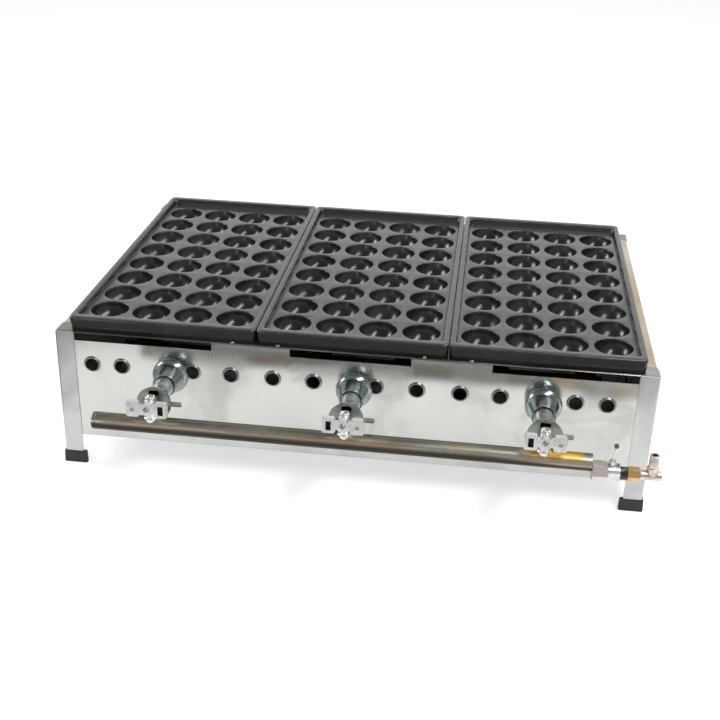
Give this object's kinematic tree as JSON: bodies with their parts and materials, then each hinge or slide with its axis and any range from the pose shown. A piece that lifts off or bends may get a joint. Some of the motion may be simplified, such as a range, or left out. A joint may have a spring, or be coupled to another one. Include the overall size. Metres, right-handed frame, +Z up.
{
  "type": "gas griddle for round dumplings",
  "caption": "Free-standing gas griddle: cast plates with rows of round cups on a sheet-metal casing with legs, burners with air shutters, a gas pipe with butterfly cocks and an inlet valve.",
  "frame": {"origin": "the middle of the footprint, gas pipe and cocks included, on the surface that the feet stand on", "axes": "+X to the right along the row of plates, +Y to the back, away from the gas pipe, +Z up"},
  "size_m": [0.63, 0.525, 0.172],
  "materials": {
    "stainless_sheet": "bright polished sheet",
    "stainless_angle": "satin angle",
    "black_rubber": "matt moulded",
    "cast_plate": "seasoned casting",
    "galvanised_sheet": "dull zinc coat",
    "screw_steel": "bright",
    "burner_iron": "bare casting",
    "mixer_zinc": "bluish zinc plate",
    "shutter_steel": "bright sheet",
    "brass": "turned",
    "cock_chrome": "plated casting",
    "pipe_chrome": "plated pipe",
    "union_nickel": "nickel plate",
    "hose_nickel": "nickel plate"
  },
  "bodies": {
    "stove": {"bottom_shield": "galvanised_sheet", "bridge_screws": "screw_steel", "burner_end_caps_left": "burner_iron", "burner_end_caps_middle": "burner_iron", "burner_end_caps_right": "burner_iron", "burner_left": "burner_iron", "burner_middle": "burner_iron", "burner_rest": "galvanised_sheet", "burner_right": "burner_iron", "cock_body_left": "cock_chrome", "cock_body_middle": "cock_chrome", "cock_body_right": "cock_chrome", "foot_front_left": "black_rubber", "foot_front_right": "black_rubber", "foot_rear_left": "black_rubber", "foot_rear_right": "black_rubber", "front_panel": "stainless_sheet", "gas_nozzle_left": "brass", "gas_nozzle_middle": "brass", "gas_nozzle_right": "brass", "hose_elbow": "hose_nickel", "inlet_adapter": "brass", "inlet_valve_body": "cock_chrome", "leg_front_left": "stainless_angle", "leg_front_right": "stainless_angle", "leg_rear_left": "stainless_angle", "leg_rear_right": "stainless_angle", "manifold_end_plug": "pipe_chrome", "manifold_pipe": "pipe_chrome", "mixer_left": "mixer_zinc", "mixer_middle": "mixer_zinc", "mixer_right": "mixer_zinc", "plate_bridge_left": "stainless_sheet", "plate_bridge_right": "stainless_sheet", "rear_panel": "stainless_sheet", "shield_screws": "screw_steel", "side_panel_left": "stainless_sheet", "side_panel_right": "stainless_sheet", "union_nut": "union_nickel"},
    "griddle_left": {"plate_left": "cast_plate"},
    "griddle_middle": {"plate_middle": "cast_plate"},
    "griddle_right": {"plate_right": "cast_plate"},
    "cock_grip_left": {"cock_plug_left": "cock_chrome", "cock_handle_left": "cock_chrome", "cock_screw_left": "screw_steel"},
    "cock_grip_middle": {"cock_plug_middle": "cock_chrome", "cock_handle_middle": "cock_chrome", "cock_screw_middle": "screw_steel"},
    "cock_grip_right": {"cock_plug_right": "cock_chrome", "cock_handle_right": "cock_chrome", "cock_screw_right": "screw_steel"},
    "shutter_disc_left": {"air_shutter_left": "shutter_steel"},
    "shutter_disc_middle": {"air_shutter_middle": "shutter_steel"},
    "shutter_disc_right": {"air_shutter_right": "shutter_steel"},
    "inlet_grip": {"inlet_valve_stem": "cock_chrome", "inlet_lever": "cock_chrome"}
  },
  "joints": [
    {"name": "plate_lift_left", "type": "slide", "parent": "stove", "child": "griddle_left", "axis": [0, 0, 1], "range_m": [0, 0.08]},
    {"name": "plate_lift_middle", "type": "slide", "parent": "stove", "child": "griddle_middle", "axis": [0, 0, 1], "range_m": [0, 0.08]},
    {"name": "plate_lift_right", "type": "slide", "parent": "stove", "child": "griddle_right", "axis": [0, 0, 1], "range_m": [0, 0.08]},
    {"name": "cock_turn_left", "type": "hinge", "parent": "stove", "child": "cock_grip_left", "pos_m": [-0.1875, -0.25425, 0.1264], "axis": [0, 1, 0], "range_deg": [0, 90]},
    {"name": "cock_turn_middle", "type": "hinge", "parent": "stove", "child": "cock_grip_middle", "pos_m": [0.006, -0.25425, 0.1264], "axis": [0, -1, 0], "range_deg": [0, 90]},
    {"name": "cock_turn_right", "type": "hinge", "parent": "stove", "child": "cock_grip_right", "pos_m": [0.1995, -0.25425, 0.1264], "axis": [0, -1, 0], "range_deg": [0, 90]},
    {"name": "shutter_turn_left", "type": "hinge", "parent": "stove", "child": "shutter_disc_left", "pos_m": [-0.1875, -0.23305, 0.1204], "axis": [0, -1, 0], "range_deg": [0, 60]},
    {"name": "shutter_turn_middle", "type": "hinge", "parent": "stove", "child": "shutter_disc_middle", "pos_m": [0.006, -0.23305, 0.1204], "axis": [0, -1, 0], "range_deg": [0, 60]},
    {"name": "shutter_turn_right", "type": "hinge", "parent": "stove", "child": "shutter_disc_right", "pos_m": [0.1995, -0.23305, 0.1204], "axis": [0, -1, 0], "range_deg": [0, 60]},
    {"name": "inlet_turn", "type": "hinge", "parent": "stove", "child": "inlet_grip", "pos_m": [0.2655, -0.24505, 0.103], "axis": [0, 0, 1], "range_deg": [0, 90]}
  ]
}
